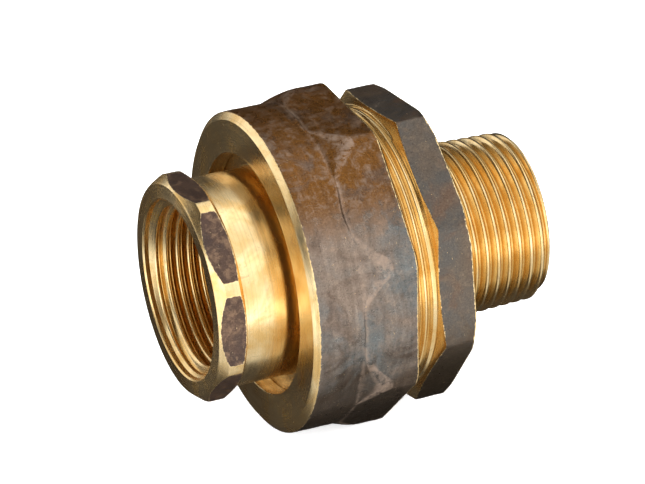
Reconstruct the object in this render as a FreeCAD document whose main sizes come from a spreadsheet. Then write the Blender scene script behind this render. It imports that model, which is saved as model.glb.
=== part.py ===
import FreeCAD, Part
import math
import os
import Sketcher

# Brass pipe union, female by male, 1 inch pipe thread. Millimetres and degrees.
# The pipe runs along X. The origin is the centre of the male thread's end face, and the
# rest of the union lies on the -X side: male body, union nut, then the female tail piece.
# Clock angles are measured round the pipe from straight up (+Z) towards -Y.

SIZES = {
    # 1 inch pipe thread, 11 threads to the inch
    "pipe_pitch": 2.309,
    "pipe_major_radius": 16.625,
    "pipe_thread_depth": 1.479,
    "pipe_flat_share": 0.1667,
    "gauge_length": 10.4,
    "taper_slope": 0.03125,
    "waterway_radius": 13.0,
    # male body: taper thread, octagon, spigot with the union thread
    "male_thread_length": 21.5,
    "male_thread_runout": 1.5,
    "male_end_chamfer": 0.8,
    "male_start_phase": 1.0,
    "body_octagon_length": 7.4,
    "body_across_flats": 55.8,
    "body_corner_radius": 30.1,
    "body_clock": 12.0,
    "body_face_chamfer": 0.85,
    "body_back_chamfer": 0.8,
    "body_back_radius": 28.7,
    "spigot_length": 18.6,
    "edge_break": 0.5,
    # union thread, 16 threads to the inch
    "union_pitch": 1.5875,
    "union_major_radius": 27.0,
    "union_depth": 0.974,
    "union_crest_flat": 0.198,
    "union_half_angle": 30.0,
    "union_flank_gap": 0.08,
    "union_crest_gap": 0.12,
    "union_thread_start": 2.14,
    "union_turns": 12.4,
    # union nut: round drum, then an octagon for the spanner
    "nut_length": 20.9,
    "nut_lip": 3.35,
    "nut_play": 0.05,
    "nut_bore_radius": 23.1,
    "nut_face_radius": 29.4,
    "nut_drum_radius": 30.8,
    "nut_face_bevel": 1.0,
    "nut_drum_length": 9.7,
    "nut_shoulder": 4.6,
    "nut_corner_radius": 32.4,
    "nut_end_radius": 32.0,
    "nut_end_chamfer": 0.4,
    "nut_across_flats": 60.0,
    "nut_clock": 20.0,
    "nut_crest_radius": 26.2,
    "nut_relief_radius": 27.4,
    "nut_relief_length": 5.25,
    "nut_turns": 9.0,
    # female tail piece: octagon, barrel, collar that the nut pulls on
    "tail_length": 22.2,
    "tail_octagon_length": 5.65,
    "tail_across_flats": 41.0,
    "tail_corner_radius": 21.7,
    "tail_clock": 18.0,
    "tail_face_radius": 20.2,
    "tail_face_chamfer": 1.75,
    "tail_back_chamfer": 0.85,
    "tail_barrel_radius": 19.9,
    "collar_radius": 25.9,
    "collar_length": 4.0,
    "mouth_bore_radius": 17.2,
    "mouth_break": 0.3,
    "mouth_bore_depth": 1.2,
    "mouth_cone_depth": 2.7,
    "port_depth": 17.0,
    "port_thread_start": 1.2,
    "port_turns": 7.3,
    # sealing ring and its groove in the collar's face
    "ring_radius": 17.5,
    "ring_section": 1.45,
    "groove_width": 3.6,
    "groove_depth": 2.95,
}

CORNERS = 8
CUT_MARGIN = 0.2      # how far a thread cutter's profile stands outside the metal, mm
FLAT_CUT_RADIUS = 40  # outer radius of the ring that a flat-cutting pocket removes, mm
SHEET = "Sizes"
SEAT_X = "-({0}.male_thread_length + {0}.body_octagon_length + {0}.spigot_length)".format(SHEET)
TAIL_X = "({0} - {1}.tail_length)".format(SEAT_X, SHEET)
COLLAR_X = "({0} - {1}.collar_length)".format(SEAT_X, SHEET)
NUT_X = "({0} - {1}.nut_play - {1}.nut_lip)".format(COLLAR_X, SHEET)

doc = FreeCAD.newDocument("PipeUnion")


def make_sheet():
    sheet = doc.addObject("Spreadsheet::Sheet", SHEET)
    for row, (alias, value) in enumerate(SIZES.items(), start=1):
        sheet.set("A%d" % row, alias)
        sheet.set("B%d" % row, str(value))
        sheet.setAlias("B%d" % row, alias)
    doc.recompute()
    return sheet


def cell(text):
    """An expression in which each {name} is a cell of the sheet or a station along X."""
    stations = {"seat_x": SEAT_X, "tail_x": TAIL_X, "collar_x": COLLAR_X, "nut_x": NUT_X}
    names = {alias: "%s.%s" % (SHEET, alias) for alias in SIZES}
    return text.format(**names, **stations)


def number(owner, text):
    """The value that the sheet gives an expression now."""
    value = owner.evalExpression(cell(text))
    return float(getattr(value, "Value", value))


def origin_feature(body, role):
    return next(item for item in body.Origin.OriginFeatures if item.Role == role)


def new_body(label):
    body = doc.addObject("PartDesign::Body", label)
    body.Label = label
    return body


def new_sketch(body, name, role):
    sketch = body.newObject("Sketcher::SketchObject", name)
    sketch.AttachmentSupport = [(origin_feature(body, role), "")]
    sketch.MapMode = "FlatFace"
    return sketch


def bind(sketch, kind, arguments, text):
    """Adds a dimension to a sketch and ties it to an expression in the sheet's cells."""
    value = number(sketch, text)
    if kind == "Angle":
        value = math.radians(value)
    index = sketch.addConstraint(Sketcher.Constraint(kind, *arguments, value))
    sketch.setExpression("Constraints[%d]" % index, cell(text))


def outline(body, name, corners):
    """A closed outline on the plane through the pipe's axis.

    Each corner is a pair of expressions: station along X, and radius.
    """
    sketch = new_sketch(body, name, "XZ_Plane")
    points = [FreeCAD.Vector(number(sketch, x), number(sketch, r), 0) for x, r in corners]
    for index, point in enumerate(points):
        sketch.addGeometry(Part.LineSegment(point, points[(index + 1) % len(points)]))
    for index in range(len(points)):
        sketch.addConstraint(Sketcher.Constraint("Coincident", index, 2, (index + 1) % len(points), 1))
    for index, (x, r) in enumerate(corners):
        if x == "0":
            sketch.addConstraint(Sketcher.Constraint("PointOnObject", index, 1, -2))
        else:
            bind(sketch, "DistanceX", (-1, 1, index, 1), x)
        bind(sketch, "DistanceY", (-1, 1, index, 1), r)
    return sketch


def turn(body, name, corners):
    """A turned solid: the outline revolved about the pipe's axis."""
    revolution = body.newObject("PartDesign::Revolution", name)
    revolution.Profile = outline(body, name + "Outline", corners)
    revolution.ReferenceAxis = (origin_feature(body, "X_Axis"), [""])
    revolution.Angle = 360
    doc.recompute()
    return revolution


def cut_octagon(body, name, station, length, across_flats, clock):
    """Cuts eight flats over a length of the pipe, leaving a regular octagon inside."""
    sketch = new_sketch(body, name + "Outline", "YZ_Plane")
    sketch.setExpression(".AttachmentOffset.Base.z", cell(station))
    corner_text = across_flats + " / 2 / cos(180 / %d)" % CORNERS
    corner_radius = number(sketch, corner_text)
    turn_by = math.radians(number(sketch, clock))
    step = 2 * math.pi / CORNERS
    tips = [
        FreeCAD.Vector(-math.sin(turn_by + k * step), math.cos(turn_by + k * step), 0) * corner_radius
        for k in range(CORNERS)
    ]
    centre, normal = FreeCAD.Vector(0, 0, 0), FreeCAD.Vector(0, 0, 1)
    for k, tip in enumerate(tips):
        sketch.addGeometry(Part.LineSegment(tip, tips[(k + 1) % CORNERS]))
    guide = sketch.addGeometry(Part.Circle(centre, normal, corner_radius), True)
    spoke = sketch.addGeometry(Part.LineSegment(centre, tips[0]), True)
    rim = sketch.addGeometry(Part.Circle(centre, normal, FLAT_CUT_RADIUS))
    for k in range(CORNERS):
        sketch.addConstraint(Sketcher.Constraint("Coincident", k, 2, (k + 1) % CORNERS, 1))
        sketch.addConstraint(Sketcher.Constraint("PointOnObject", k, 1, guide))
    for k in range(1, CORNERS):
        sketch.addConstraint(Sketcher.Constraint("Equal", 0, k))
    sketch.addConstraint(Sketcher.Constraint("Coincident", guide, 3, -1, 1))
    sketch.addConstraint(Sketcher.Constraint("Coincident", rim, 3, -1, 1))
    sketch.addConstraint(Sketcher.Constraint("Coincident", spoke, 1, -1, 1))
    sketch.addConstraint(Sketcher.Constraint("Coincident", spoke, 2, 0, 1))
    sketch.addConstraint(Sketcher.Constraint("Radius", rim, FLAT_CUT_RADIUS))
    bind(sketch, "Radius", (guide,), corner_text)
    bind(sketch, "Angle", (-1, 1, spoke, 1), "90 + " + clock)
    pocket = body.newObject("PartDesign::Pocket", name)
    pocket.Profile = sketch
    pocket.Reversed = True
    pocket.setExpression("Length", cell(length))
    cut_and_compare(body, pocket)


def cut_helix(body, name, corners, pitch, turns, cone_angle=None, towards_minus_x=False):
    """Cuts a right-hand thread groove whose cross-section is the given outline."""
    helix = body.newObject("PartDesign::SubtractiveHelix", name)
    helix.Profile = outline(body, name + "Outline", corners)
    helix.ReferenceAxis = (origin_feature(body, "X_Axis"), [""])
    helix.Mode = "pitch-turns-angle"
    helix.LeftHanded = False
    helix.Reversed = towards_minus_x
    helix.setExpression("Pitch", cell(pitch))
    helix.setExpression("Turns", cell(turns))
    if cone_angle:
        helix.setExpression("Angle", cell(cone_angle))
    cut_and_compare(body, helix)


def cut_and_compare(body, feature):
    """Recomputes, and stops if the new feature removed nothing."""
    before = body.Shape.Volume
    doc.recompute()
    removed = before - body.Shape.Volume
    if removed < 1.0:
        raise RuntimeError("%s removed %.3f mm3" % (feature.Name, removed))


def pipe_groove(centre, surface_radius, into):
    """Corners of the pipe thread's groove: wide at the surface, narrow at its floor.

    into is "+" for a groove cut outwards into a bore and "-" for one cut into a shaft.
    """
    slope = "{pipe_pitch} * (1 - 2 * {pipe_flat_share}) / 2 / {pipe_thread_depth}"
    floor = "{pipe_pitch} * {pipe_flat_share} / 2"
    mouth = "(%s + (%s) * ({pipe_thread_depth} + %s))" % (floor, slope, CUT_MARGIN)
    outside = "-" if into == "+" else "+"
    mouth_radius = "%s %s %s" % (surface_radius, outside, CUT_MARGIN)
    floor_radius = "%s %s {pipe_thread_depth}" % (surface_radius, into)
    return [
        ("%s - %s" % (centre, mouth), mouth_radius),
        ("%s - %s" % (centre, floor), floor_radius),
        ("%s + %s" % (centre, floor), floor_radius),
        ("%s + %s" % (centre, mouth), mouth_radius),
    ]


def make_male_body():
    """Taper thread, octagon and the spigot that carries the union thread."""
    body = new_body("male_body")
    face_x = "-({male_thread_length} + {body_octagon_length})"
    taper_at_shoulder = "{pipe_major_radius} + {taper_slope} * ({male_thread_length} - {gauge_length})"
    taper_at_end = "{pipe_major_radius} - {taper_slope} * {gauge_length}"
    turn(body, "BodyTurning", [
        ("{seat_x}", "{waterway_radius}"),
        ("{seat_x}", "{union_major_radius} - {union_depth} - {edge_break}"),
        ("{seat_x} + {union_depth} + {edge_break}", "{union_major_radius}"),
        (face_x, "{union_major_radius}"),
        (face_x + " + {body_face_chamfer}", "{body_corner_radius}"),
        ("-{male_thread_length} - {body_back_chamfer}", "{body_corner_radius}"),
        ("-{male_thread_length}", "{body_back_radius}"),
        ("-{male_thread_length}", taper_at_shoulder),
        ("-{male_end_chamfer}", taper_at_end + " + {taper_slope} * {male_end_chamfer}"),
        ("0", taper_at_end + " - {male_end_chamfer}"),
        ("0", "{waterway_radius} + {edge_break}"),
        ("-{edge_break}", "{waterway_radius}"),
    ])
    cut_octagon(body, "BodyFlats", face_x, "{body_octagon_length}", "{body_across_flats}", "{body_clock}")
    cut_helix(
        body, "UnionThread",
        union_groove("{seat_x} - {union_thread_start}", "{union_major_radius}", "-"),
        "{union_pitch}", "{union_turns}",
    )
    start = "{male_start_phase}"
    cut_helix(
        body, "PipeThread",
        pipe_groove(start, "({pipe_major_radius} - {taper_slope} * ({gauge_length} + %s))" % start, "-"),
        "{pipe_pitch}",
        "({male_thread_length} - {male_thread_runout} + %s) / {pipe_pitch}" % start,
        "atan({taper_slope})",
        towards_minus_x=True,
    )
    return body


def union_groove(centre, surface_radius, into):
    """Corners of the union thread's groove, in the spigot ("-") or in the nut ("+").

    The nut's groove is the spigot's ridge with a gap on its flanks and crest.
    """
    flank = "tan({union_half_angle})"
    if into == "-":
        floor = "({union_pitch} - {union_crest_flat} - 2 * {union_depth} * %s) / 2" % flank
        depth = "{union_depth}"
        outside = "+"
    else:
        floor = "({union_crest_flat} / 2 + {union_flank_gap} - {union_crest_gap} * %s)" % flank
        depth = "({union_major_radius} + {union_crest_gap} - {nut_crest_radius})"
        outside = "-"
    mouth = "(%s + (%s + %s) * %s)" % (floor, depth, CUT_MARGIN, flank)
    mouth_radius = "%s %s %s" % (surface_radius, outside, CUT_MARGIN)
    floor_radius = "%s %s %s" % (surface_radius, into, depth)
    return [
        ("%s - %s" % (centre, mouth), mouth_radius),
        ("%s - %s" % (centre, floor), floor_radius),
        ("%s + %s" % (centre, floor), floor_radius),
        ("%s + %s" % (centre, mouth), mouth_radius),
    ]


def make_union_nut():
    """Round drum with an inward lip, then an octagon, threaded inside."""
    body = new_body("union_nut")
    end_x = "{nut_x} + {nut_length}"
    lip_x = "{nut_x} + {nut_lip}"
    turn(body, "NutTurning", [
        ("{nut_x}", "{nut_bore_radius}"),
        ("{nut_x}", "{nut_face_radius}"),
        ("{nut_x} + {nut_face_bevel}", "{nut_drum_radius}"),
        ("{nut_x} + {nut_drum_length}", "{nut_drum_radius}"),
        ("{nut_x} + {nut_drum_length} + {nut_shoulder}", "{nut_corner_radius}"),
        (end_x + " - {nut_end_chamfer}", "{nut_corner_radius}"),
        (end_x, "{nut_end_radius}"),
        (end_x, "{nut_relief_radius}"),
        (end_x + " - ({nut_relief_radius} - {nut_crest_radius})", "{nut_crest_radius}"),
        (lip_x + " + {nut_relief_length}", "{nut_crest_radius}"),
        (lip_x + " + {nut_relief_length} - {edge_break}", "{nut_relief_radius}"),
        (lip_x, "{nut_relief_radius}"),
        (lip_x, "{nut_bore_radius}"),
    ])
    cut_octagon(
        body, "NutFlats",
        "{nut_x} + {nut_drum_length}", "{nut_length} - {nut_drum_length}",
        "{nut_across_flats}", "{nut_clock}",
    )
    # half a pitch and one whole turn further on than the spigot's groove, so that the two mesh
    cut_helix(
        body, "NutThread",
        union_groove("{seat_x} - {union_thread_start} + 1.5 * {union_pitch}", "{nut_crest_radius}", "+"),
        "{union_pitch}", "{nut_turns}",
    )
    return body


def make_female_tail():
    """Octagon with the female thread, barrel, and the collar that seats on the body."""
    body = new_body("female_tail")
    back_x = "{tail_x} + {tail_octagon_length}"
    port_x = "{tail_x} + {port_depth}"
    crest = "({pipe_major_radius} - {pipe_thread_depth})"
    turn(body, "TailTurning", [
        ("{tail_x}", "{mouth_bore_radius} + {mouth_break}"),
        ("{tail_x}", "{tail_face_radius}"),
        ("{tail_x} + {tail_face_chamfer}", "{tail_corner_radius}"),
        (back_x + " - {tail_back_chamfer}", "{tail_corner_radius}"),
        (back_x, "{tail_across_flats} / 2"),
        (back_x, "{tail_barrel_radius}"),
        ("{collar_x}", "{tail_barrel_radius}"),
        ("{collar_x}", "{collar_radius}"),
        ("{seat_x} - {edge_break}", "{collar_radius}"),
        ("{seat_x}", "{collar_radius} - {edge_break}"),
        ("{seat_x}", "{ring_radius} + {groove_width} / 2"),
        ("{seat_x} - {groove_depth}", "{ring_radius} + {groove_width} / 2"),
        ("{seat_x} - {groove_depth}", "{ring_radius} - {groove_width} / 2"),
        ("{seat_x}", "{ring_radius} - {groove_width} / 2"),
        ("{seat_x}", "{waterway_radius}"),
        (port_x, "{waterway_radius}"),
        (port_x, crest),
        ("{tail_x} + {mouth_cone_depth}", crest),
        ("{tail_x} + {mouth_bore_depth}", "{mouth_bore_radius}"),
        ("{tail_x} + {mouth_break}", "{mouth_bore_radius}"),
    ])
    cut_octagon(body, "TailFlats", "{tail_x}", "{tail_octagon_length}", "{tail_across_flats}", "{tail_clock}")
    cut_helix(
        body, "PortThread",
        pipe_groove("{tail_x} - {port_thread_start}", crest, "+"),
        "{pipe_pitch}", "{port_turns}",
    )
    return body


def make_sealing_ring():
    """O-ring in the collar's groove, a hair clear of the groove and of the seat."""
    ring = doc.addObject("Part::Torus", "sealing_ring")
    ring.Label = "sealing_ring"
    ring.setExpression("Radius1", cell("{ring_radius}"))
    ring.setExpression("Radius2", cell("{ring_section}"))
    ring.Placement.Rotation = FreeCAD.Rotation(FreeCAD.Vector(0, 1, 0), 90)
    ring.setExpression(".Placement.Base.x", cell("{seat_x} - {groove_depth} / 2"))
    return ring


def check_document():
    """Stops if any object failed or left an invalid shape."""
    for item in doc.Objects:
        if "Invalid" in item.State or "Error" in item.State:
            raise RuntimeError("%s failed: %s" % (item.Label, item.State))


def export(pieces):
    os.makedirs("parts", exist_ok=True)
    for piece in pieces:
        shape = piece.Shape
        if shape.isNull() or not shape.isValid():
            raise RuntimeError("%s has no valid shape" % piece.Label)
        shape.exportStep("parts/%s.step" % piece.Label)
        box = shape.BoundBox
        print("%-13s solids %d  volume %9.1f mm3  X %7.2f to %7.2f  Z %6.2f to %6.2f" % (
            piece.Label, len(shape.Solids), shape.Volume, box.XMin, box.XMax, box.ZMin, box.ZMax))


make_sheet()
pieces = [make_male_body(), make_sealing_ring(), make_female_tail(), make_union_nut()]
doc.recompute()
check_document()
export(pieces)
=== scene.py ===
import math

import bmesh
import bpy
import numpy as np
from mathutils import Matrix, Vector, noise


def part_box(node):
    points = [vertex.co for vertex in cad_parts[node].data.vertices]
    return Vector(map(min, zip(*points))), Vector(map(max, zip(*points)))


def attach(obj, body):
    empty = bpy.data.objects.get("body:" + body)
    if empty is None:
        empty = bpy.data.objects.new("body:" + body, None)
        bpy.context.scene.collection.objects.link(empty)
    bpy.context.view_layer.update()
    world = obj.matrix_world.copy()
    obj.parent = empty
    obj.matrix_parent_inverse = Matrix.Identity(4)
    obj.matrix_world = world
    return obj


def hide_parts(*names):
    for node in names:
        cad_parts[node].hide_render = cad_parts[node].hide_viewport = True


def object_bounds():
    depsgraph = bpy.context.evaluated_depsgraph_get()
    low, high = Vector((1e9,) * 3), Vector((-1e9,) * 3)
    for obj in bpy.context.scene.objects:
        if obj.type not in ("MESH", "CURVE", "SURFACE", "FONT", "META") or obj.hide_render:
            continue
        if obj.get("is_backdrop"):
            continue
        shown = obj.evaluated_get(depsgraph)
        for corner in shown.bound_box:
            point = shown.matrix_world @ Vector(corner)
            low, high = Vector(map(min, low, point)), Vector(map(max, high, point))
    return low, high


# Brass pipe union: female tail piece, union nut, male body and sealing ring.
# Mesh code works in millimetres in the row's frame: the pipe lies along X and the clock angle
# runs round it from straight up (+Z) towards -Y. Objects are made in metres at the end.

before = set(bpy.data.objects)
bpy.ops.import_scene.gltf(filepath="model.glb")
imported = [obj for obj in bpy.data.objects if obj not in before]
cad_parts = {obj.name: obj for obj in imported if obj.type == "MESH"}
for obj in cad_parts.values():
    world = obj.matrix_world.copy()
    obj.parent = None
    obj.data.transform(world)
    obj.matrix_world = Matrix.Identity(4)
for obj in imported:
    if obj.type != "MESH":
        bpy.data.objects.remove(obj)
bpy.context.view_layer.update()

MM = 0.001
FLATS = 8                     # every spanner grip is an octagon
FLAT_ANGLE = 360 / FLATS
MERGE = 2e-6                  # points of one surface closer than this are one point, m


# ---------------------------------------------------------------- sizes

def span_mm(node, axis):
    """Lowest and highest coordinate of a CAD node along an axis (0 to 2), in mm."""
    low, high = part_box(node)
    return low[axis] / MM, high[axis] / MM


TAIL_LEFT, SEAT = span_mm("female_tail", 0)
NUT_LEFT, NUT_RIGHT = span_mm("union_nut", 0)
BODY_RIGHT = span_mm("male_body", 0)[1]
COLLAR_RADIUS = span_mm("female_tail", 1)[1]

BORE = 13.0                   # radius of the waterway
PIPE_PITCH = 2.309            # 1 inch pipe thread, 11 to the inch
PIPE_DEPTH = 1.479
PIPE_MAJOR = 16.625
PIPE_TRUNCATION = (1 / 12, 1 / 12)      # half widths of floor and crest, in pitches
TAPER = 1 / 32
GAUGE = 10.4                  # the taper thread has its major radius this far from its end
UNION_PITCH = 1.5875          # union thread, 16 to the inch
UNION_DEPTH = 0.974
UNION_MAJOR = 27.0
UNION_START = 2.14            # a groove of the spigot's thread lies this far left of the seat

# where the mesh's rows fall in a pitch of the pipe threads
PIPE_PLACES = (0.0, 0.06, 0.12, 0.25, 0.38, 0.44, 0.5, 0.56, 0.62, 0.75, 0.88, 0.94)

# clock angle of an octagon's first corner, and the radii of its flats and its turned corners
TAIL_CLOCK, TAIL_FLAT, TAIL_CORNER = 18.0, 20.5, 21.7
NUT_CLOCK, NUT_FLAT, NUT_CORNER = 20.0, 30.4, 32.4
BODY_CLOCK, BODY_FLAT = 12.0, 27.9
DRUM_RADIUS = 30.8            # the nut's round part


# ---------------------------------------------------------------- closed surfaces round the pipe

def octagon_columns(clock, crease, flat_steps, strip_steps):
    """Clock angles of the mesh's columns, and each one's angle from the middle of its flat.

    Columns fall on the two creases of each flat, which are that many degrees from its middle.
    """
    clocks, offsets = [], []
    for k in range(FLATS):
        middle = clock + FLAT_ANGLE * (k + 0.5)
        deltas = [-crease + 2 * crease * i / flat_steps for i in range(flat_steps)]
        strip = FLAT_ANGLE - 2 * crease
        deltas += [crease + strip * i / strip_steps for i in range(strip_steps)]
        clocks += [middle + d for d in deltas]
        offsets += [d if d <= FLAT_ANGLE / 2 else d - FLAT_ANGLE for d in deltas]
    clocks.append(clocks[0] + 360)
    offsets.append(offsets[0])
    return np.array(clocks), np.array(offsets)


def rounded_octagon(offsets, flat, rounding):
    """Radius of an octagon with rounded corners at angles from the middle of its flats."""
    half = math.radians(FLAT_ANGLE / 2)
    delta = np.radians(np.abs(offsets))
    centre = (flat - rounding) / math.cos(half)
    from_corner = half - delta
    inside = rounding ** 2 - (centre * np.sin(from_corner)) ** 2
    arc = centre * np.cos(from_corner) + np.sqrt(np.maximum(inside, 0))
    starts = math.atan((flat - rounding) * math.tan(half) / flat)
    return np.where(delta > starts, arc, flat / np.cos(delta))


def soft_least(a, b, blend):
    """The smaller of two radii, with their meeting line rounded over."""
    return -blend * np.log(np.exp(-(a - b) / blend) + 1) + b


def corner(x, r, fillet=0.0, steps=1, finish="turned", rubbed=0.0):
    """A corner of the cross-section, rounded to a radius that may differ from column to column.

    finish is that of the stretch from here to the next corner. rubbed is how much handling
    has worn this edge, from 0 to 1.
    """
    return {"x": x, "r": r, "fillet": fillet, "steps": steps, "finish": finish, "rubbed": rubbed}


def thread_rows(clocks, x_from, x_to, pitch, groove_at, radius_at, turns_of):
    """Rows of points that follow a right-hand thread between two stations.

    groove_at is a groove's station at clock angle 0; turns_of holds the rows' places in a
    pitch; radius_at(x, place) is the surface's radius, the same all round at both stations.
    """
    low, high = min(x_from, x_to), max(x_from, x_to)
    first = math.floor((low - groove_at) / pitch - clocks[-1] / 360) - 1
    last = math.ceil((high - groove_at) / pitch - clocks[0] / 360) + 1
    rows, hollow = [], []
    for n in range(first, last):
        for place in turns_of:
            x = groove_at + pitch * (n + place + clocks / 360)
            if x.max() > low and x.min() < high:
                x = np.clip(x, low, high)
                phase = (x - groove_at) / pitch - clocks / 360
                rows.append(np.stack([x, radius_at(x, phase)], axis=-1))
                hollow.append(groove_shape(phase, 0.10, 0.20))
    rows, hollow = np.stack(rows, axis=1), np.stack(hollow, axis=1)
    if x_from > x_to:
        rows, hollow = rows[:, ::-1], hollow[:, ::-1]
    return {"rows": rows, "hollow": hollow, "finish": "thread"}


def groove_shape(phase, floor_half, crest_half):
    """1 on a groove's floor, 0 on the ridge between grooves, with softened corners."""
    away = np.abs(phase - np.round(phase))
    ramp = np.clip((0.5 - crest_half - away) / (0.5 - crest_half - floor_half), 0, 1)
    return ramp - 0.06 * np.sin(2 * math.pi * ramp)


def fade(x, start, end):
    """0 at start, 1 at end and beyond, smooth between."""
    share = np.clip((x - start) / (end - start), 0, 1)
    return share * share * (3 - 2 * share)


def trace(parts, columns):
    """Points of the closed cross-section for every column, with each row's finish, how rubbed
    it is, and how deep it lies in a thread."""
    for part in parts:
        if "rows" not in part:
            part["point"] = np.stack(
                [np.broadcast_to(part["x"], columns), np.broadcast_to(part["r"], columns)], axis=-1
            ).astype(float)
    points, finishes, rubs, hollows = [], [], [], []

    def add(point, finish, rubbed=0.0, hollow=0.0):
        points.append(point)
        finishes.append(finish)
        rubs.append(np.full(columns, rubbed))
        hollows.append(np.zeros(columns) + hollow)

    count = len(parts)
    starts, ends = [], []
    for i, part in enumerate(parts):
        if "rows" in part:
            starts.append(part["rows"][:, 0])
            ends.append(part["rows"][:, -1])
            continue
        before, after = parts[i - 1], parts[(i + 1) % count]
        left = before["rows"][:, -1] if "rows" in before else before["point"]
        right = after["rows"][:, 0] if "rows" in after else after["point"]
        here = part["point"]
        into, out = here - left, right - here
        long_in = np.linalg.norm(into, axis=1, keepdims=True)
        long_out = np.linalg.norm(out, axis=1, keepdims=True)
        into = into / np.maximum(long_in, 1e-9)
        out = out / np.maximum(long_out, 1e-9)
        turn = np.arccos(np.clip((into * out).sum(axis=1, keepdims=True), -1, 1))
        cut = np.reshape(part["fillet"], (-1, 1)) * np.tan(turn / 2)
        cut = np.minimum(cut, 0.45 * np.minimum(long_in, long_out))
        starts.append(here - into * cut)
        ends.append(here + out * cut)
    for i, part in enumerate(parts):
        steps = part.get("steps", 1)
        if "rows" in part:
            for row in range(part["rows"].shape[1]):
                add(part["rows"][:, row], part["finish"], hollow=part["hollow"][:, row])
        elif np.max(part["fillet"]) > 0:
            for share in (0, 0.33, 0.67, 1):
                a = starts[i] + (part["point"] - starts[i]) * share
                b = part["point"] + (ends[i] - part["point"]) * share
                add(a + (b - a) * share, part["finish"], part["rubbed"])
        else:
            add(part["point"], part["finish"], part["rubbed"])
        target = starts[(i + 1) % count]
        for k in range(1, steps):
            add(ends[i] + (target - ends[i]) * k / steps, part["finish"])
    return np.stack(points, axis=1), finishes, np.stack(rubs, axis=1), np.stack(hollows, axis=1)


def skin_depth(section, finishes, forged):
    """How far inside the forged skin each point is, in mm along the section; negative outside."""
    rows = section.shape[1]
    is_forged = np.array([f in forged for f in finishes])
    steps = np.linalg.norm(np.roll(section, -1, axis=1) - section, axis=2)
    far = 50.0
    ahead = np.full(section.shape[:2], far)
    behind = np.full(section.shape[:2], far)
    if not is_forged.any():
        return -ahead
    for _ in range(2):
        for j in range(rows):
            edge = is_forged[j] != is_forged[j - 1]
            behind[:, j] = 0 if edge else behind[:, j - 1] + steps[:, j - 1]
        for j in range(rows - 1, -1, -1):
            edge = is_forged[j] != is_forged[j - 1]
            ahead[:, j] = 0 if edge else ahead[:, (j + 1) % rows] + steps[:, j]
    depth = np.minimum(np.minimum(ahead, behind), far)
    inside = is_forged | np.roll(is_forged, 1)
    return np.where(inside, depth, -depth)


def revolve(name, parts, clocks, offsets, materials, forged=(), strip=None, relief=None):
    """Makes the closed mesh of a cross-section carried round the pipe.

    materials is (turned, forged). strip is the crease angle past which a forged stretch was
    turned off. relief(x, r, clock, skin) gives how far the surface stands out or in, in mm.
    """
    section, finishes, rubbed, hollow = trace(parts, len(clocks))
    skin = skin_depth(section, finishes, forged)
    if strip is not None:
        lateral = np.radians(strip - np.abs(offsets))[:, None] * section[:, :, 1]
        skin = np.minimum(skin, lateral)
    angle = np.radians(clocks)[:, None]
    x, r = section[:, :, 0], section[:, :, 1].copy()
    if relief is not None:
        r += relief(x, r, np.broadcast_to(angle, r.shape), skin)
    points = np.stack([x, -r * np.sin(angle), r * np.cos(angle)], axis=-1) * MM
    columns, rows = section.shape[:2]
    index = np.arange(columns * rows).reshape(columns, rows)
    here, below = index[:-1], np.roll(index, -1, axis=1)[:-1]
    right, right_below = index[1:], np.roll(index, -1, axis=1)[1:]
    faces = np.stack([here, right, right_below, below], axis=-1).reshape(-1, 4)
    slots = np.array([[1 if f in forged else 0 for f in finishes]] * (columns - 1))
    if strip is not None:
        middle = (np.abs(offsets[:-1]) + np.abs(offsets[1:])) / 2
        slots[middle > strip] = 0

    mesh = bpy.data.meshes.new(name)
    mesh.from_pydata(points.reshape(-1, 3).tolist(), [], faces.tolist())
    mesh.polygons.foreach_set("material_index", slots.reshape(-1).astype(np.int32))
    for label, values in (("skin", skin), ("rubbed", rubbed), ("hollow", hollow)):
        attribute = mesh.attributes.new(label, "FLOAT", "POINT")
        attribute.data.foreach_set("value", values.reshape(-1).astype(np.float32))
    work = bmesh.new()
    work.from_mesh(mesh)
    bmesh.ops.remove_doubles(work, verts=work.verts, dist=MERGE)
    bmesh.ops.dissolve_degenerate(work, dist=MERGE / 4, edges=work.edges)
    bmesh.ops.recalc_face_normals(work, faces=work.faces)
    for face in work.faces:
        face.smooth = True
    work.to_mesh(mesh)
    work.free()
    for material in materials:
        mesh.materials.append(material)
    piece = bpy.data.objects.new(name, mesh)
    bpy.context.scene.collection.objects.link(piece)
    weighted = piece.modifiers.new("face weighted normals", "WEIGHTED_NORMAL")
    weighted.keep_sharp = True
    weighted.weight = 80
    return piece


# ---------------------------------------------------------------- materials

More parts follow.
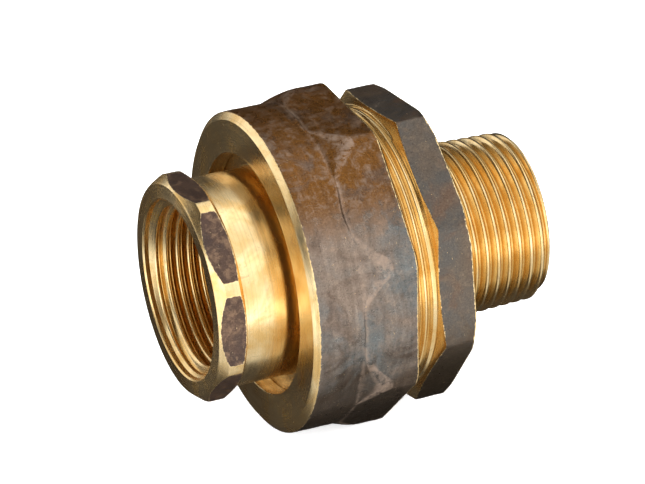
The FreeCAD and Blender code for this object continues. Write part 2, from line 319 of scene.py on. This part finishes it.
class Finish:
    """A material's nodes. Lengths in it are millimetres in the piece's own frame."""

    def __init__(self, name):
        self.material = bpy.data.materials.new(name)
        self.material.use_nodes = True
        self.tree = self.material.node_tree
        self.shader = self.tree.nodes["Principled BSDF"]
        place = self.tree.nodes.new("ShaderNodeTexCoord").outputs["Object"]
        self.place = self.vector("SCALE", place, scale=1 / MM)
        self.x, self.y, self.z = self.split(self.place)
        self.radius = self.value("SQRT", self.value("ADD", self.value("MULTIPLY", self.y, self.y),
                                                    self.value("MULTIPLY", self.z, self.z)))

    def put(self, socket, value):
        if isinstance(value, bpy.types.NodeSocket):
            self.tree.links.new(value, socket)
        else:
            socket.default_value = value

    def value(self, operation, a, b=0.0, clamp=False):
        node = self.tree.nodes.new("ShaderNodeMath")
        node.operation = operation
        node.use_clamp = clamp
        self.put(node.inputs[0], a)
        self.put(node.inputs[1], b)
        return node.outputs[0]

    def vector(self, operation, a, b=None, scale=None):
        node = self.tree.nodes.new("ShaderNodeVectorMath")
        node.operation = operation
        self.put(node.inputs[0], a)
        if b is not None:
            self.put(node.inputs[1], b)
        if scale is not None:
            node.inputs["Scale"].default_value = scale
        return node.outputs[0]

    def split(self, vector):
        node = self.tree.nodes.new("ShaderNodeSeparateXYZ")
        self.put(node.inputs[0], vector)
        return node.outputs

    def join(self, x, y, z):
        node = self.tree.nodes.new("ShaderNodeCombineXYZ")
        for socket, value in zip(node.inputs, (x, y, z)):
            self.put(socket, value)
        return node.outputs[0]

    def noise(self, vector, scale, detail=3.0, roughness=0.55, distortion=0.0):
        node = self.tree.nodes.new("ShaderNodeTexNoise")
        self.put(node.inputs["Vector"], vector)
        node.inputs["Scale"].default_value = scale
        node.inputs["Detail"].default_value = detail
        node.inputs["Roughness"].default_value = roughness
        node.inputs["Distortion"].default_value = distortion
        return node.outputs[0]

    def cells(self, vector, scale, feature="F1"):
        node = self.tree.nodes.new("ShaderNodeTexVoronoi")
        node.feature = feature
        self.put(node.inputs["Vector"], vector)
        node.inputs["Scale"].default_value = scale
        return node.outputs["Distance"]

    def ramp(self, factor, stops, smooth=True):
        """stops are (position, value or colour)."""
        node = self.tree.nodes.new("ShaderNodeValToRGB")
        node.color_ramp.interpolation = "EASE" if smooth else "LINEAR"
        self.put(node.inputs[0], factor)
        elements = node.color_ramp.elements
        while len(elements) < len(stops):
            elements.new(0.5)
        for element, (position, shade) in zip(elements, stops):
            element.position = position
            element.color = (*shade, 1) if isinstance(shade, tuple) else (shade, shade, shade, 1)
        return node.outputs[0]

    def between(self, factor, low, high, out_low=0.0, out_high=1.0):
        """Maps low..high to out_low..out_high, clamped, with a smooth step."""
        node = self.tree.nodes.new("ShaderNodeMapRange")
        node.interpolation_type = "SMOOTHSTEP"
        self.put(node.inputs["Value"], factor)
        sockets = {"From Min": low, "From Max": high, "To Min": out_low, "To Max": out_high}
        for key, value in sockets.items():
            self.put(node.inputs[key], value)
        return node.outputs[0]

    def mix(self, factor, a, b, blend="MIX"):
        node = self.tree.nodes.new("ShaderNodeMix")
        node.data_type = "RGBA"
        node.blend_type = blend
        self.put(node.inputs[0], factor)
        for socket, value in ((node.inputs[6], a), (node.inputs[7], b)):
            self.put(socket, (*value, 1) if isinstance(value, tuple) else value)
        return node.outputs[2]

    def attribute(self, name):
        node = self.tree.nodes.new("ShaderNodeAttribute")
        node.attribute_name = name
        return node.outputs["Fac"]

    def scratches(self, per_mm, rarity):
        """Thin straight lines in all directions, sparser as rarity rises from 0.5."""
        lines = self.cells(self.place, per_mm, "DISTANCE_TO_EDGE")
        where = self.noise(self.vector("ADD", self.place, (17.0, 3.0, 29.0)), per_mm * 3, 2.0)
        near_line = self.between(lines, 0.012, 0.004)
        return self.value("MULTIPLY", near_line, self.between(where, rarity, rarity + 0.03))

    def bump(self, height, strength, distance, before=None):
        node = self.tree.nodes.new("ShaderNodeBump")
        node.inputs["Strength"].default_value = strength
        node.inputs["Distance"].default_value = distance * MM
        self.put(node.inputs["Height"], height)
        if before is not None:
            self.put(node.inputs["Normal"], before)
        return node.outputs[0]

    def shade(self, **sockets):
        for key, value in sockets.items():
            self.put(self.shader.inputs[key.replace("_", " ")], value)

    def turned_along(self):
        """Points the shader's anisotropy round the pipe, the way a lathe tool cuts."""
        tangent = self.tree.nodes.new("ShaderNodeTangent")
        tangent.direction_type = "RADIAL"
        tangent.axis = "X"
        self.put(self.shader.inputs["Tangent"], tangent.outputs[0])

    def lathe_marks(self, per_mm, wander=0.02):
        """Fine rings round the pipe, on cylinders, cones and flat faces alike."""
        along = self.value("ADD", self.x, self.value("MULTIPLY", self.radius, 1.31))
        around_y = self.value("MULTIPLY", self.y, wander)
        around_z = self.value("MULTIPLY", self.z, wander)
        return self.noise(self.join(along, around_y, around_z), per_mm, 4.0, 0.6)


BRASS = (0.90, 0.69, 0.37)
BRASS_DEEP = (0.76, 0.49, 0.18)
TARNISH = (0.34, 0.20, 0.08)
GROOVE_SHADE_AMBER = (0.64, 0.37, 0.10)
RUBBED = (0.34, 0.25, 0.19)


def turned_brass(name, tarnish_at, roughness):
    """Bright brass straight from the lathe, tarnished here and there, with painted shade darkening its
    thread grooves to amber.
    """
    f = Finish(name)
    marks = f.lathe_marks(2.2)
    fine = f.lathe_marks(7.0)
    clouds = f.noise(f.place, 0.16, 4.0, 0.6, 0.6)
    specks = f.noise(f.place, 1.9, 3.0, 0.7)
    colour = f.mix(f.between(clouds, 0.35, 0.7), BRASS, BRASS_DEEP)
    blots = f.noise(f.place, 0.35, 5.0, 0.65, 1.2)
    stain = f.value("MULTIPLY", f.between(blots, tarnish_at, tarnish_at + 0.16),
                    f.between(specks, 0.3, 0.6, 0.5, 1.0))
    colour = f.mix(f.value("MULTIPLY", stain, 0.6), colour, TARNISH)
    colour = f.mix(1.0, colour, f.ramp(marks, [(0.3, 0.84), (0.5, 1.0), (0.7, 1.05)]), "MULTIPLY")
    colour = f.mix(f.value("MULTIPLY", f.scratches(0.16, 0.62), 0.35), colour, TARNISH)
    # painted shade: thread grooves darkened to amber by their depth, flecked by the specks
    groove_shade = f.value("MULTIPLY", f.between(f.attribute("hollow"), 0.25, 0.8),
                    f.between(specks, 0.3, 0.6, 0.65, 0.95))
    colour = f.mix(groove_shade, colour, GROOVE_SHADE_AMBER)
    rough = f.value("ADD", f.between(clouds, 0.3, 0.7, roughness - 0.03, roughness + 0.05),
                    f.value("MULTIPLY", stain, 0.12))
    rough = f.value("ADD", rough, f.value("MULTIPLY", f.between(fine, 0.3, 0.7), 0.06))
    normal = f.bump(fine, 0.3, 0.010)
    normal = f.bump(marks, 0.35, 0.012, normal)
    normal = f.bump(specks, 0.08, 0.02, normal)
    f.turned_along()
    f.shade(Base_Color=colour, Metallic=1.0, Roughness=rough, Normal=normal, Anisotropic=0.8)
    return f.material


def forged_skin(name, shades, ragged=0.35, shine=0.4, brushed=0.0, mottled=0.6,
                top_oxide_and_painted_shade=None, painted_shade_below=None):
    """Dark oxide on hot-forged brass. shades are four colours, from the commonest to the rarest.

    The upper-side colour, if given, is partly the oxide's own warmer tone and partly painted shade;
    the lower-side colour, if given, is painted shade that darkens the underside.
    """
    f = Finish(name)
    skin = f.attribute("skin")
    broad = f.noise(f.place, 0.055, 4.0, 0.55, 0.8)
    patches = f.noise(f.vector("ADD", f.place, (31.0, 7.0, 53.0)), 0.13, 6.0, 0.62, 0.8)
    mottle = f.noise(f.vector("ADD", f.place, (9.0, 41.0, 3.0)), 0.55, 6.0, 0.72, 0.4)
    fine = f.noise(f.place, 3.2, 4.0, 0.75)
    colour = f.mix(f.between(broad, 0.36, 0.62), shades[0], shades[1])
    # upper side: a warmer, darker oxide colour, partly the oxide's own tone and partly painted shade
    if top_oxide_and_painted_shade:
        height = f.value("DIVIDE", f.z, f.radius)
        uneven = f.value("MULTIPLY", f.value("SUBTRACT", mottle, 0.5), 0.5)
        ragged_height = f.value("ADD", height, uneven)
        colour = f.mix(f.between(ragged_height, 0.55, 0.80), colour, top_oxide_and_painted_shade)
    colour = f.mix(f.value("MULTIPLY", f.between(patches, 0.48, 0.68), 0.8), colour, shades[2])
    colour = f.mix(f.value("MULTIPLY", f.between(mottle, 0.46, 0.68), mottled), colour, shades[3])
    colour = f.mix(1.0, colour, f.ramp(fine, [(0.25, 0.5), (0.5, 0.95), (0.75, 1.5)]), "MULTIPLY")
    # painted shade: the oxide is darkened towards the underside of the pipe, with a ragged edge from the
    # patch noise
    if painted_shade_below:
        depth = f.value("DIVIDE", f.z, f.value("MULTIPLY", f.radius, -1.0))
        depth = f.value("ADD", depth, f.value("MULTIPLY", f.value("SUBTRACT", patches, 0.5), 0.7))
        colour = f.mix(f.between(depth, -0.05, 0.45, 0.0, 0.9), colour, painted_shade_below)
    if brushed:
        rings = f.lathe_marks(1.1)
        colour = f.mix(brushed, colour, f.ramp(rings, [(0.3, 0.62), (0.5, 1.0), (0.7, 1.4)]), "MULTIPLY")
    # edges that hands and spanners have rubbed pale
    rub = f.value("MULTIPLY", f.attribute("rubbed"), f.between(mottle, 0.34, 0.6))
    colour = f.mix(rub, colour, RUBBED)
    # bright metal shows where the skin is worn through, along its edges and in nicks
    torn = f.noise(f.place, 1.3, 4.0, 0.75)
    edge = f.value("SUBTRACT", f.value("MULTIPLY", f.value("SUBTRACT", torn, 0.42), ragged * 4.0), skin)
    worn = f.between(edge, -0.05, 0.05)
    nick_shape = f.noise(f.vector("MULTIPLY", f.place, (2.1, 0.8, 0.8)), 1.7, 2.0, 0.5, 1.5)
    nicks = f.value("MULTIPLY", f.between(nick_shape, 0.72, 0.75), f.between(torn, 0.45, 0.6))
    bare = f.value("MAXIMUM", worn, nicks)
    colour = f.mix(bare, colour, BRASS)
    pits = f.between(f.cells(f.place, 0.9), 0.02, 0.24)
    rough = f.value("ADD", f.between(mottle, 0.3, 0.7, shine - 0.08, shine + 0.12),
                    f.value("MULTIPLY", f.value("SUBTRACT", fine, 0.5), 0.25))
    rough = f.value("SUBTRACT", rough, f.value("MULTIPLY", bare, 0.12))
    normal = f.bump(fine, 0.5, 0.05)
    normal = f.bump(mottle, 0.5, 0.12, normal)
    normal = f.bump(pits, 0.35, 0.06, normal)
    normal = f.bump(f.value("SUBTRACT", 1.0, bare), 0.4, 0.05, normal)
    f.shade(Base_Color=colour, Metallic=f.value("ADD", 0.8, f.value("MULTIPLY", bare, 0.2)),
            Roughness=rough, Normal=normal, Specular_Tint=(0.6, 0.55, 0.5, 1.0))
    return f.material


def seal_rubber():
    """Black moulded rubber with a bloom of grease and dust."""
    f = Finish("seal_rubber_black")
    dust = f.noise(f.place, 0.5, 5.0, 0.65)
    fine = f.noise(f.place, 6.0, 3.0, 0.7)
    colour = f.mix(f.between(dust, 0.45, 0.75), (0.012, 0.012, 0.013), (0.045, 0.042, 0.040))
    f.shade(Base_Color=colour, Roughness=f.between(dust, 0.3, 0.7, 0.38, 0.6),
            Normal=f.bump(fine, 0.3, 0.02))
    return f.material


# ---------------------------------------------------------------- pieces

def bumps(x, r, angle, size, strength, seed):
    """Smooth unevenness of that size and height in mm, the same at the same place each run."""
    y, z = -r * np.sin(angle), r * np.cos(angle)
    flat = np.stack([x, y, z], axis=-1).reshape(-1, 3) / size + seed
    values = [noise.noise(Vector(point)) for point in flat]
    return np.array(values).reshape(x.shape) * strength


def forged_relief(strength, seed):
    """Unevenness of forged skin: broad waves and small dents, dying out at its edges."""
    def relief(x, r, angle, skin):
        keep = fade(skin, 0.1, 1.2)
        wanted = skin > 0.1
        height = np.zeros_like(x)
        place = (x[wanted], r[wanted], angle[wanted])
        height[wanted] = bumps(*place, 7.0, 1.2 * strength, seed)
        height[wanted] += bumps(*place, 2.0, 0.5 * strength, seed + 9)
        return height * keep
    return relief


def make_tail(turned, forged):
    """Female tail piece: octagon with the port, barrel, and the collar that the nut pulls on."""
    crease = math.degrees(math.acos(TAIL_FLAT / TAIL_CORNER))
    clocks, offsets = octagon_columns(TAIL_CLOCK, crease, 44, 10)
    outer = np.minimum(TAIL_FLAT / np.cos(np.radians(offsets)), TAIL_CORNER)
    face_radius, chamfer = 20.2, 1.75
    front_slope = chamfer / (TAIL_CORNER - face_radius)
    octagon_end = TAIL_LEFT + 5.65
    back_radius, back_slope = 20.25, 0.85 / 1.2
    barrel = 19.9
    collar_left = SEAT - 4.0
    port_end = TAIL_LEFT + 17.0
    mouth, mouth_break, mouth_deep = 17.2, 0.3, 1.2
    crest = PIPE_MAJOR - PIPE_DEPTH
    cone_end = TAIL_LEFT + 2.7
    cone_slope = (mouth - crest) / (cone_end - TAIL_LEFT - mouth_deep)
    thread_start = TAIL_LEFT + mouth_deep + (mouth - PIPE_MAJOR) / cone_slope
    groove_mid, ring_deep, half_width = 17.5, 2.95, 1.8

    def port_radius(x, phase):
        run_out = fade(port_end - x, 0.3, 1.6)
        groove = crest + PIPE_DEPTH * groove_shape(phase, *PIPE_TRUNCATION) * run_out
        cone = crest + (cone_end - x) * cone_slope
        return np.maximum(groove, np.maximum(cone, crest))

    port = thread_rows(clocks, port_end, thread_start, PIPE_PITCH, TAIL_LEFT - 1.2, port_radius,
                       PIPE_PLACES)
    parts = [
        corner(TAIL_LEFT, mouth + mouth_break, 0.08, 5),
        corner(TAIL_LEFT, face_radius, 0.12, 4),
        corner(TAIL_LEFT + (outer - face_radius) * front_slope, outer, 0.12, 9, "forged"),
        corner(octagon_end - (outer - back_radius) * back_slope, outer, 0.10, 2),
        corner(octagon_end, back_radius, 0.06, 1),
        corner(octagon_end, barrel, 0.15, 14),
        corner(collar_left, barrel, 0.35, 5),
        corner(collar_left, COLLAR_RADIUS, 0.25, 4),
        corner(SEAT - 0.5, COLLAR_RADIUS, 0.10, 1),
        corner(SEAT, COLLAR_RADIUS - 0.5, 0.10, 5),
        corner(SEAT, groove_mid + half_width, 0.10, 3),
        corner(SEAT - ring_deep, groove_mid + half_width, 0.20, 3),
        corner(SEAT - ring_deep, groove_mid - half_width, 0.20, 3),
        corner(SEAT, groove_mid - half_width, 0.10, 3),
        corner(SEAT, BORE, 0.15, 6),
        corner(port_end, BORE, 0.15, 3),
        port,
        corner(TAIL_LEFT + mouth_deep, mouth, 0.08, 2),
        corner(TAIL_LEFT + mouth_break, mouth, 0.05, 1),
    ]
    piece = revolve("tail_piece", parts, clocks, offsets, (turned, forged), ("forged",),
                    crease, forged_relief(0.06, 3.0))
    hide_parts("female_tail")
    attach(piece, "female_tail")
    return piece


def make_nut(turned, forged):
    """Union nut: bright face and bevel, dark drum, worn shoulder, forged octagon."""
    crease = math.degrees(math.acos(NUT_FLAT / NUT_CORNER))
    clocks, offsets = octagon_columns(NUT_CLOCK, crease, 46, 22)
    outer = soft_least(NUT_FLAT / np.cos(np.radians(offsets)), NUT_CORNER, 0.10)
    bore, face_radius, bevel = 23.1, 29.4, 1.0
    drum_long, drum_rise = 9.7, 4.6 / 1.6
    lip = NUT_LEFT + 3.35
    crest, relief_radius = 26.2, 27.4
    thread_left, thread_right = lip + 5.25, NUT_RIGHT - (relief_radius - crest)
    end_bevel = 0.35

    # the shoulder between drum and octagon wanders, as hand-worn edges do
    angle = np.radians(clocks)
    wander = bumps(np.zeros_like(angle), np.full_like(angle, 30.0), angle, 6.0, 0.55, 17.0)
    shoulder = NUT_LEFT + drum_long + wander
    rise = np.maximum(0.3, (outer - DRUM_RADIUS) * drum_rise)
    octagon_left = shoulder + rise
    valley = 1.0 + 1.5 * rise

    def nut_thread(x, phase):
        run_out = fade(x, thread_left, thread_left + 0.7) * fade(thread_right - x, 0, 0.5)
        return crest + 0.92 * groove_shape(phase, 0.1, 0.12) * run_out

    places = (0.0, 0.12, 0.31, 0.5, 0.69, 0.88)
    inner = thread_rows(clocks, thread_right, thread_left, UNION_PITCH,
                        SEAT - UNION_START + 1.5 * UNION_PITCH, nut_thread, places)
    parts = [
        corner(NUT_LEFT, bore, 0.20, 12),
        corner(NUT_LEFT, face_radius, 0.12, 3),
        corner(NUT_LEFT + bevel, DRUM_RADIUS, 0.25, 20, "forged"),
        corner(shoulder, DRUM_RADIUS, 0.7, 3, "forged", 0.30),
        corner(octagon_left, outer, valley, 18, "forged", 0.55),
        corner(NUT_RIGHT - end_bevel, outer, 0.15, 1),
        corner(NUT_RIGHT, outer - end_bevel, 0.10, 4),
        corner(NUT_RIGHT, relief_radius, 0.10, 1),
        inner,
        corner(thread_left - 0.5, relief_radius, 0.10, 4),
        corner(lip, relief_radius, 0.30, 4),
        corner(lip, bore, 0.20, 4),
    ]
    piece = revolve("union_nut_piece", parts, clocks, offsets, (turned, forged), ("forged",),
                    None, forged_relief(0.10, 5.0))
    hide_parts("union_nut")
    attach(piece, "union_nut")
    return piece


def make_body(turned, forged):
    """Male body: spigot with the union thread, octagon, and the taper thread."""
    clocks, offsets = octagon_columns(BODY_CLOCK, 20.5, 38, 8)
    outer = rounded_octagon(offsets, BODY_FLAT, 1.0)
    thread_long, octagon_long = 21.5, 7.4
    shoulder = BODY_RIGHT - thread_long
    face = shoulder - octagon_long
    face_slope = 0.85 / 3.1
    back_radius, back_slope, back_break = 28.7, 0.8 / 1.4, 0.15
    seat_radius = UNION_MAJOR - UNION_DEPTH - 0.5
    end_chamfer = 0.8
    end_radius = PIPE_MAJOR - TAPER * GAUGE - end_chamfer
    end_break = 0.5

    def union_radius(x, phase):
        run_out = fade(face - x, 0.05, 0.35)
        thread = UNION_MAJOR - UNION_DEPTH * groove_shape(phase, 0.14, 0.08) * run_out
        return np.minimum(thread, seat_radius + (x - SEAT))

    def taper_radius(x, phase):
        surface = PIPE_MAJOR - TAPER * (GAUGE + x - BODY_RIGHT)
        run_out = fade(x, shoulder + 0.2, shoulder + 2.2)
        thread = surface - PIPE_DEPTH * groove_shape(phase, *PIPE_TRUNCATION) * run_out
        return np.minimum(thread, end_radius + (BODY_RIGHT - x))

    union_places = (0.0, 0.14, 0.32, 0.5, 0.68, 0.86)
    union = thread_rows(clocks, SEAT, face - 0.05, UNION_PITCH, SEAT - UNION_START, union_radius,
                        union_places)
    taper = thread_rows(clocks, shoulder + 0.2, BODY_RIGHT, PIPE_PITCH, BODY_RIGHT + 1.0,
                        taper_radius, PIPE_PLACES)
    end = np.minimum(outer, back_radius)
    parts = [
        corner(SEAT, BORE, 0.15, 5),
        union,
        corner(face, UNION_MAJOR, 0.0, 5),
        corner(face + (outer - UNION_MAJOR) * face_slope, outer, 0.14, 11, "forged"),
        corner(shoulder - np.maximum(back_break, (outer - back_radius) * back_slope), outer, 0.14, 2),
        corner(shoulder, end - back_break, 0.10, 6),
        corner(shoulder, PIPE_MAJOR + TAPER * (thread_long - GAUGE), 0.10, 1),
        taper,
        corner(BODY_RIGHT, BORE + end_break, 0.10, 2),
        corner(BODY_RIGHT - end_break, BORE, 0.10, 8),
    ]
    piece = revolve("male_body_piece", parts, clocks, offsets, (turned, forged), ("forged",),
                    None, forged_relief(0.05, 8.0))
    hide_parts("male_body")
    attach(piece, "male_body")
    return piece


def make_ring(rubber):
    """O-ring with its moulding line."""
    low, high = span_mm("sealing_ring", 0)
    section, middle = (high - low) / 2, (high + low) / 2
    radius = span_mm("sealing_ring", 1)[1] - section
    clocks, offsets = octagon_columns(0.0, 15.0, 16, 8)
    parts = []
    for k in range(32):
        angle = 2 * math.pi * k / 32
        out = section - (0.0 if k % 16 == 8 else 0.04)
        parts.append(corner(middle + out * math.sin(angle), radius + out * math.cos(angle)))
    piece = revolve("sealing_ring_piece", parts, clocks, offsets, (rubber,))
    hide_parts("sealing_ring")
    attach(piece, "sealing_ring")
    return piece


# ---------------------------------------------------------------- studio

def area_light(name, place, aim, wide, high, radiance, glossy=True):
    """A soft rectangular light. radiance is how bright its face looks, 1 being white."""
    light = bpy.data.lights.new(name, "AREA")
    light.shape = "RECTANGLE"
    light.size, light.size_y = wide, high
    light.energy = radiance * math.pi * wide * high
    lamp = bpy.data.objects.new(name, light)
    lamp.location = place
    lamp.rotation_euler = (Vector(aim) - Vector(place)).to_track_quat("-Z", "Y").to_euler()
    lamp.visible_glossy = glossy
    lamp.visible_camera = False
    bpy.context.scene.collection.objects.link(lamp)


def make_floor():
    """Pale floor that curves up into a backdrop all round."""
    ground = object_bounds()[0][2]
    flat, bend, height = 1.6, 0.5, 2.2
    outline = [(flat * i / 4, 0.0) for i in range(1, 5)]
    outline += [(flat + bend * math.sin(a), bend * (1 - math.cos(a)))
                for a in (math.radians(10 * k) for k in range(1, 10))]
    outline.append((flat + bend, height))
    sides = 96
    verts, faces = [(0.0, 0.0, ground)], []
    for k in range(sides):
        a = 2 * math.pi * k / sides
        verts += [(d * math.cos(a), d * math.sin(a), ground + z) for d, z in outline]
    rows = len(outline)
    for k in range(sides):
        a, b = 1 + k * rows, 1 + (k + 1) % sides * rows
        faces.append((0, a, b))
        faces += [(a + j, a + j + 1, b + j + 1, b + j) for j in range(rows - 1)]
    mesh = bpy.data.meshes.new("floor")
    mesh.from_pydata(verts, [], faces)
    mesh.polygons.foreach_set("use_smooth", [True] * len(faces))
    f = Finish("floor_white")
    shade = f.noise(f.place, 0.004, 2.0)
    f.shade(Base_Color=f.mix(shade, (0.86, 0.86, 0.86), (0.9, 0.9, 0.9)), Roughness=0.9,
            Emission_Color=(1.0, 1.0, 1.0, 1.0), Emission_Strength=0.55)
    mesh.materials.append(f.material)
    floor = bpy.data.objects.new("floor", mesh)
    bpy.context.scene.collection.objects.link(floor)
    floor.visible_glossy = False
    floor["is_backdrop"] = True
    return ground


def make_studio(ground):
    world = bpy.data.worlds.new("studio")
    world.use_nodes = True
    world.node_tree.nodes["Background"].inputs["Color"].default_value = (0.06, 0.052, 0.045, 1)
    world.node_tree.nodes["Background"].inputs["Strength"].default_value = 1.0
    bpy.context.scene.world = world
    bpy.context.scene.view_settings.view_transform = "Standard"
    # a tall soft wall in front, its glow on the floor in front and on the left, a soft box above
    # it, walls on the left, and light from above for the floor alone
    area_light("front_wall", (0.25, -1.3, 0.42), (0.0, 0.0, 0.42), 3.0, 1.9, 1.35)
    area_light("front_floor", (0.1, -0.825, ground + 0.001), (0.1, -0.825, 1.0), 2.8, 1.6, 0.75)
    area_light("left_floor", (-0.62, -0.17, ground + 0.001), (-0.62, -0.17, 1.0), 1.0, 0.48, 1.3)
    area_light("top_front", (0.25, -0.30, 1.05), (0.0, 0.0, 0.0), 1.7, 1.2, 1.2)
    area_light("ceiling", (0.3, 0.75, 1.3), (0.0, 0.0, 0.0), 2.2, 1.3, 0.55)
    area_light("back_left_wall", (-1.0, 1.0, 0.35), (0.0, 0.0, 0.1), 1.7, 0.9, 1.2)
    area_light("left_wall", (-1.3, -0.75, 0.40), (-0.07, 0.0, 0.0), 1.3, 1.0, 2.0)
    area_light("overhead", (0.0, 0.0, 1.9), (0.0, 0.0, 0.0), 2.6, 2.6, 1.2, glossy=False)


def make_camera():
    aim = Vector((-0.03944, 0.00153, 0.00241))
    azimuth, elevation, away = math.radians(23.83), math.radians(30.23), 0.8485
    look = Vector((math.sin(azimuth) * math.cos(elevation), math.cos(azimuth) * math.cos(elevation),
                   -math.sin(elevation)))
    data = bpy.data.cameras.new("camera")
    data.sensor_width = 36.0
    data.lens = 251.16
    data.clip_start = 0.01
    camera = bpy.data.objects.new("camera", data)
    camera.location = aim - look * away
    camera.rotation_euler = look.to_track_quat("-Z", "Y").to_euler()
    bpy.context.scene.collection.objects.link(camera)
    bpy.context.scene.camera = camera


bright = turned_brass("brass_turned", 0.60, 0.19)
tail_skin = forged_skin(
    "tail_oxide",
    [(0.075, 0.048, 0.038), (0.10, 0.064, 0.048), (0.050, 0.040, 0.038), (0.26, 0.165, 0.105)],
    ragged=0.2, mottled=0.75)
# the nut's upper-side colour is partly painted shade, and its lower-side colour, like the body's, is
# painted shade
nut_skin = forged_skin(
    "nut_oxide",
    [(0.185, 0.140, 0.108), (0.125, 0.132, 0.128), (0.090, 0.062, 0.046), (0.28, 0.21, 0.16)],
    brushed=0.5, shine=0.32, ragged=0.2, mottled=0.5, top_oxide_and_painted_shade=(0.135, 0.056, 0.012),
    painted_shade_below=(0.036, 0.024, 0.015))
body_skin = forged_skin(
    "body_oxide",
    [(0.105, 0.078, 0.057), (0.085, 0.077, 0.068), (0.125, 0.074, 0.047), (0.17, 0.13, 0.092)],
    shine=0.36, ragged=0.25, painted_shade_below=(0.040, 0.029, 0.018))
make_tail(bright, tail_skin)
make_nut(bright, nut_skin)
make_body(bright, body_skin)
make_ring(seal_rubber())
make_studio(make_floor())
make_camera()
